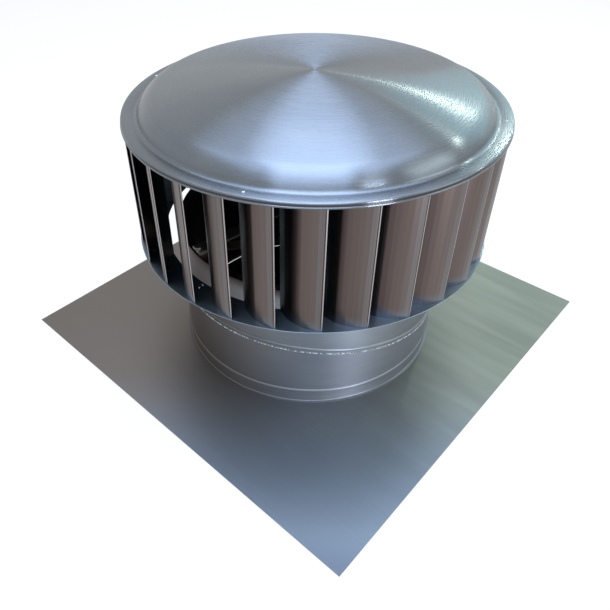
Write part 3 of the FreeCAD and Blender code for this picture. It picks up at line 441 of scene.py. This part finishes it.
def seamFillet(s, seal):  # sealant pressed into the step above the upstand's edge, uneven along its length
    draw = random.Random(seal["seed"])
    outer = s["radius"] - s["sheet"] - s["fit"]
    edge = s["seamHeight"] - s["seamDrop"]
    count, corners = seal["around"], len(seal["section"])
    raw = [draw.random() for _ in range(count)]
    near = range(-seal["spread"], seal["spread"] + 1)
    points, faces = [], []
    for i in range(count):
        angle = 2 * math.pi * i / count
        lump = seal["lump"] * sum(raw[(i + k) % count] for k in near) / len(near) * seal["gain"]
        leg = seal["leg"] * (1 - seal["lump"] + lump)
        for out, up in seal["section"]:
            radius = outer + out * leg
            points.append(onAxis(radius, edge + max(up * leg, seal["lift"]) + seamRise(s, radius, angle), angle))
    for i in range(count):
        here, following = corners * i, corners * ((i + 1) % count)
        faces += [(here + k, following + k, following + (k + 1) % corners, here + (k + 1) % corners)
                  for k in range(corners)]
    meshPiece("seam_sealant_bead", points, faces, "sealant", "base", ["seam_sealant"], creaseAngle=60)


upstand(tubeSizes)
throat(tubeSizes)
seamFillet(tubeSizes, sealSizes)
print("tubes made")

# Base sheet: square flashing with a round hole

baseSizes = {"side": 920.0, "sheet": 1.2, "holeRadius": 281.8, "edge": 0.3, "around": 256, "rows": 30}


def baseSheet(s):
    half = s["side"] / 2
    corners = [math.radians(a) for a in (-135, -45, 45, 135)]
    angles = sorted([2 * math.pi * i / s["around"] - math.pi for i in range(s["around"])] + corners)

    def reach(angle, inset):  # distance from the rotor axis to the edge of the sheet
        return (half - inset) / max(abs(math.cos(angle)), abs(math.sin(angle)))

    edge, sheet, hole = s["edge"], s["sheet"], s["holeRadius"]
    rows = []
    for k in range(s["rows"] + 1):
        share = k / s["rows"]
        rows.append([onAxis(hole + share * (reach(a, edge) - hole), sheet, a) for a in angles])
    rows.append([onAxis(reach(a, 0), sheet - edge, a) for a in angles])
    rows.append([onAxis(reach(a, 0), edge, a) for a in angles])
    rows.append([onAxis(reach(a, edge), 0, a) for a in angles])
    rows.append([onAxis(hole, 0, a) for a in angles])
    count = len(angles)
    points = [p for row in rows for p in row]
    faces = []
    for r in range(len(rows)):
        q = (r + 1) % len(rows)
        faces += [(r * count + i, q * count + i, q * count + (i + 1) % count, r * count + (i + 1) % count)
                  for i in range(count)]
    meshPiece("flashing_sheet", points, faces, "flashing_sheet", "base", ["base_plate"], creaseAngle=30)


baseSheet(baseSizes)
print("base sheet made")

# Blades: roll-formed strips with five flats, a hem at the tip and a spot-weld tab at each end

bladeSizes = {"count": 28, "angle": -98.75, "tipRadius": 362.0, "setting": 40.9, "curve": 88.5, "arc": 60.4,
              "facets": 5, "sheet": 0.8, "hemWidth": 4.5, "hemTurn": 32.0, "low": 278.7, "high": 535.8,
              "bend": 1.6, "tabDepth": 12.0, "tabWidth": 15.0, "tabBand": 0.5}


def bladeSection(s):  # outer face from the inner edge to the hem's end, about the centre of the curve
    step = math.radians(s["arc"] / s["facets"])
    start = -math.radians(s["arc"]) / 2
    flats = [Vector((s["curve"] * math.cos(start + i * step), s["curve"] * math.sin(start + i * step)))
             for i in range(s["facets"] + 1)]
    hem = start + (s["facets"] - 0.5) * step + math.radians(s["hemTurn"])
    flats.append(flats[-1] + s["hemWidth"] * Vector((-math.sin(hem), math.cos(hem))))
    return flats


def offsetLine(line, distance):
    moved = []
    for index, point in enumerate(line):
        ways = [(line[k + 1] - line[k]).normalized() for k in (index - 1, index) if 0 <= k < len(line) - 1]
        across = sum((Vector((-w.y, w.x)) for w in ways), Vector((0, 0))).normalized()
        share = across.dot(Vector((-ways[0].y, ways[0].x)))
        moved.append(point + across * distance / share)
    return moved


def softBends(line, reach):  # three points in place of each inner corner, so that a fold has a small radius
    soft = [line[0]]
    for before, corner, after in zip(line, line[1:], line[2:]):
        near = min(reach, (corner - before).length / 3, (after - corner).length / 3)
        a, b = corner + (before - corner).normalized() * near, corner + (after - corner).normalized() * near
        soft += [a, (a + b + 2 * corner) / 4, b]
    return soft + [line[-1]]


def bladeMatrix(s, index):
    turn = math.radians(s["angle"] + index * 360 / s["count"])
    half = math.radians(s["arc"]) / 2
    tip = Vector((s["curve"] * math.cos(half), s["curve"] * math.sin(half), 0))
    return (Matrix.Rotation(turn, 4, "Z") @ Matrix.Translation((s["tipRadius"], 0, 0))
            @ Matrix.Rotation(-math.radians(s["setting"]), 4, "Z") @ Matrix.Translation(-tip))


def boxFaces(start):
    return [tuple(start + k for k in face) for face in
            ((0, 3, 2, 1), (4, 5, 6, 7), (0, 1, 5, 4), (1, 2, 6, 5), (2, 3, 7, 6), (3, 0, 4, 7))]


def blade(s, index):
    section = bladeSection(s)
    front = softBends(section, s["bend"])
    outline = front + softBends(offsetLine(section, s["sheet"]), s["bend"])[::-1]
    count = len(outline)
    runs = [0] + [(b - a).length for a, b in zip(front, front[1:])]
    strip = [sum(runs[:k + 1]) / sum(runs) for k in range(len(front))]
    points = [(p.x, p.y, z) for z in (s["low"], s["high"]) for p in outline]
    faces = [(i, (i + 1) % count, count + (i + 1) % count, count + i) for i in range(count)]
    half = count // 2
    for base, flip in ((0, 1), (count, -1)):
        faces += [tuple(base + k for k in (i, count - 1 - i, count - 2 - i, i + 1))[::flip]
                  for i in range(half - 1)]
    face = s["curve"] * math.cos(math.radians(s["arc"] / s["facets"] / 2)) - s["sheet"] / 2
    for low in (s["low"], s["high"] - s["sheet"]):
        faces += boxFaces(len(points))
        points += [(x, y, z) for z in (low, low + s["sheet"]) for x, y in
                   ((face - s["tabDepth"], -s["tabWidth"] / 2), (face, -s["tabWidth"] / 2),
                    (face, s["tabWidth"] / 2), (face - s["tabDepth"], s["tabWidth"] / 2))]
    matrix = bladeMatrix(s, index)
    points = [matrix @ Vector(p) for p in points]
    number = "blade_%02d" % (index + 1)
    tabPoints = len(points) - 2 * count
    pointValues = {"strip": 2 * (strip + strip[::-1]) + tabPoints * [s["tabBand"]],
                   "inside": 2 * (half * [0.0] + half * [1.0]) + tabPoints * [0.0]}
    meshPiece("formed_" + number, points, faces, "blade_sheet", "rotor", [number], 50, pointValues)


for bladeIndex in range(bladeSizes["count"]):
    blade(bladeSizes, bladeIndex)
print("blades made:", bladeSizes["count"])

# Lower ring and blind rivets

ringSizes = {"inner": 309.0, "outer": 363.8, "low": 277.5, "sheet": 1.2, "edge": 0.35, "around": 384}


def lowerRing(s):
    e, high = s["edge"], s["low"] + s["sheet"]
    section = [(s["inner"] + e, s["low"]), (s["outer"] - e, s["low"]), (s["outer"], s["low"] + e),
               (s["outer"], high - e), (s["outer"] - e, high), (s["inner"] + e, high), (s["inner"], high - e),
               (s["inner"], s["low"] + e)]
    turnedPiece("lower_blade_ring", section, "ring_sheet", "rotor", ["lower_ring"], s["around"])


lowerRing(ringSizes)

rivetSizes = {"head": 3.4, "headHeight": 1.3, "pinHole": 1.05, "holeDepth": 0.5, "tail": 3.0, "tailHeight": 1.6,
              "around": 24,
              "tailShape": ((0, 1), (0.7, 1), (1, 0.6), (1, 0)),  # shares of the radius and of the height
              "headShape": ((1, 0), (0.93, 0.45), (0.74, 0.8), (0.5, 0.97))}
rivetPlaces = {  # node: underside, top face and (radius, angle) of each rivet
    "cap_rivets": (535.8, 539.0, [(350.0, -160.6), (350.0, -67.6), (350.0, 26.4), (350.0, 112.6)]),
    "joint_rivets": (276.3, 278.7, [(314.7, -90.0), (323.8, -90.0)]),
}


def rivets(s, node, low, high, spots):
    top = high + s["headHeight"]
    section = [(out * s["tail"], low - down * s["tailHeight"]) for out, down in s["tailShape"]]
    section += [(out * s["head"], high + up * s["headHeight"]) for out, up in s["headShape"]]
    section += [(s["pinHole"], top), (s["pinHole"], top - s["holeDepth"]), (0, top - s["holeDepth"])]
    points, faces = [], []
    for radius, angle in spots:
        cx, cy, _ = onAxis(radius, 0, math.radians(angle))
        one, oneFaces = turnSection(section, s["around"],
                                    lambda r, z, a: (cx + r * math.cos(a), cy + r * math.sin(a), z))
        faces += [[len(points) + k for k in face] for face in oneFaces]
        points += one
    meshPiece("domed_" + node, points, faces, "rivet_metal", "rotor", [node], creaseAngle=40)


for rivetNode, rivetRow in rivetPlaces.items():
    rivets(rivetSizes, rivetNode, *rivetRow)
print("ring and rivets made")

# Camera and light

cameraSizes = {"place": (0.70867, -0.87077, 1.01796), "right": (0.72885961, 0.6844473, -0.01719182),
               "up": (-0.42559069, 0.47258995, 0.77170675), "lens": 36.241, "sensor": 36.0, "shiftX": 0.06105,
               "shiftY": -0.03892, "clipStart": 0.01, "clipEnd": 50}


def makeCamera(s):
    right, up = Vector(s["right"]), Vector(s["up"])
    back = right.cross(up).normalized()
    data = bpy.data.cameras.new("photo_camera")
    data.lens, data.sensor_width = s["lens"], s["sensor"]
    data.shift_x, data.shift_y = s["shiftX"], s["shiftY"]
    data.clip_start, data.clip_end = s["clipStart"], s["clipEnd"]
    camera = bpy.data.objects.new("photo_camera", data)
    camera.matrix_world = Matrix.Translation(s["place"]) @ Matrix((right, up, back)).transposed().to_4x4()
    bpy.context.scene.collection.objects.link(camera)
    bpy.context.scene.camera = camera


makeCamera(cameraSizes)

lampAim = Vector((0, 0, 0.4))
lampSizes = {  # azimuth is the frame's polar angle; metres and watts
    "sky_softbox": {"azimuth": 129, "elevation": 82, "distance": 2.6, "width": 1.3, "height": 3.2, "power": 46,
                    "colour": "#cfe0ff"},
    "wide_softbox": {"azimuth": 132, "elevation": 82, "distance": 2.65, "width": 3.0, "height": 3.2, "power": 78,
                     "colour": "#c6dcff"},
    "near_softbox": {"azimuth": -51, "elevation": 50, "distance": 2.9, "width": 2.0, "height": 2.4, "power": 40,
                     "colour": "#c6dcff"},
    "streak_lamp": {"azimuth": 103, "elevation": 28, "distance": 2.8, "width": 0.04, "height": 0.04, "power": 2.6,
                    "colour": "#f4fff0"},
    "short_streak_lamp": {"azimuth": 71, "elevation": 39, "distance": 2.8, "width": 0.04, "height": 0.04,
                          "power": 4.4, "colour": "#f4fff0"},
    "teal_panel": {"azimuth": 87, "elevation": 25, "distance": 2.8, "width": 2.2, "height": 1.3, "power": 11,
                   "colour": "#9adbe4"},
    "right_window": {"azimuth": 25, "elevation": 30, "distance": 2.8, "width": 1.4, "height": 1.2, "power": 14,
                     "colour": "#e9f2f0"},
    "front_window": {"azimuth": -17, "elevation": -3, "distance": 2.8, "width": 0.6, "height": 0.48, "power": 40,
                     "colour": "#e6edff"},
}


def addLamp(name, s):
    a, e = math.radians(s["azimuth"]), math.radians(s["elevation"])
    way = Vector((math.cos(a) * math.cos(e), math.sin(a) * math.cos(e), math.sin(e)))
    data = bpy.data.lights.new(name, "AREA")
    data.shape, data.size, data.size_y = "RECTANGLE", s["width"], s["height"]
    data.energy = s["power"]
    data.color = hexToLinear(s["colour"])[:3]
    lamp = bpy.data.objects.new(name, data)
    lamp.location = lampAim + way * s["distance"]
    lamp.rotation_euler = way.to_track_quat("Z", "Y").to_euler()
    bpy.context.scene.collection.objects.link(lamp)


for lampName, lampValues in lampSizes.items():
    addLamp(lampName, lampValues)

worldLook = {"ambient": "#f8f9fb", "ambientStrength": 0.7, "background": "#ffffff"}


def seenRays(tree):  # 1 for rays from the camera, or by way of metal or glass
    path = addNode(tree, "LightPath")
    seen = addNode(tree, "Math", {"operation": "MAXIMUM"},
                   {0: path.outputs["Is Camera Ray"], 1: path.outputs["Is Glossy Ray"]})
    return addNode(tree, "Math", {"operation": "MAXIMUM"},
                   {0: seen.outputs[0], 1: path.outputs["Is Transmission Ray"]}).outputs[0]


def makeWorld(s):
    world = bpy.data.worlds.new("white_room")
    world.use_nodes = True
    tree = world.node_tree
    tree.nodes.clear()
    ambient = addNode(tree, "Background", {"Color": hexToLinear(s["ambient"]), "Strength": s["ambientStrength"]})
    white = addNode(tree, "Background", {"Color": hexToLinear(s["background"]), "Strength": 1.0})
    mixed = addNode(tree, "MixShader", links={0: seenRays(tree), 1: ambient.outputs[0], 2: white.outputs[0]})
    addNode(tree, "OutputWorld", links={"Surface": mixed.outputs[0]})
    bpy.context.scene.world = world


makeWorld(worldLook)
print("camera and light set")

# Floor, and the dark under the opening, which is closed in by the sheet that lies on it

floorLook = {"side": 30.0, "drop": 0.0006, "colour": "#fbfbfb", "roughness": 0.9, "whiteShare": 0.8}
shadeLook = {"radius": 0.2805, "drop": 0.0003, "colour": "#101011", "roughness": 0.9, "around": 96}


def stageSheet(name, corners, material):
    mesh = bpy.data.meshes.new(name)
    mesh.from_pydata(corners, [], [list(range(len(corners)))])
    mesh.materials.append(material)
    piece = bpy.data.objects.new(name, mesh)
    bpy.context.scene.collection.objects.link(piece)


def plainMaterial(name, s):
    material, tree, shader = newMaterial(name)
    shader.inputs["Base Color"].default_value = hexToLinear(s["colour"])
    shader.inputs["Roughness"].default_value = s["roughness"]
    return material, tree, shader


def makeFloor(s):
    material, tree, shader = plainMaterial("white_studio_floor", s)
    white = addNode(tree, "Emission", {"Color": hexToLinear(s["colour"]), "Strength": 1.0})
    share = addNode(tree, "Math", {"operation": "MULTIPLY", 1: s["whiteShare"]}, {0: seenRays(tree)})
    mixed = addNode(tree, "MixShader", links={0: share.outputs[0], 1: shader.outputs[0], 2: white.outputs[0]})
    tree.links.new(mixed.outputs[0], tree.nodes["Material Output"].inputs["Surface"])
    half = s["side"] / 2
    corners = [(x * half, y * half, -s["drop"]) for x, y in ((-1, -1), (1, -1), (1, 1), (-1, 1))]
    stageSheet("studio_floor", corners, material)


# painted shade: a near-black sheet on the floor inside the opening, standing in for the shade under the closed-in
# duct
def makeShade(s):
    ring = [onAxis(s["radius"], -s["drop"], 2 * math.pi * i / s["around"]) for i in range(s["around"])]
    stageSheet("opening_shade", ring, plainMaterial("unlit_floor", s)[0])


makeFloor(floorLook)
makeShade(shadeLook)
bpy.context.scene.view_settings.view_transform = "Standard"
print("scene ready")
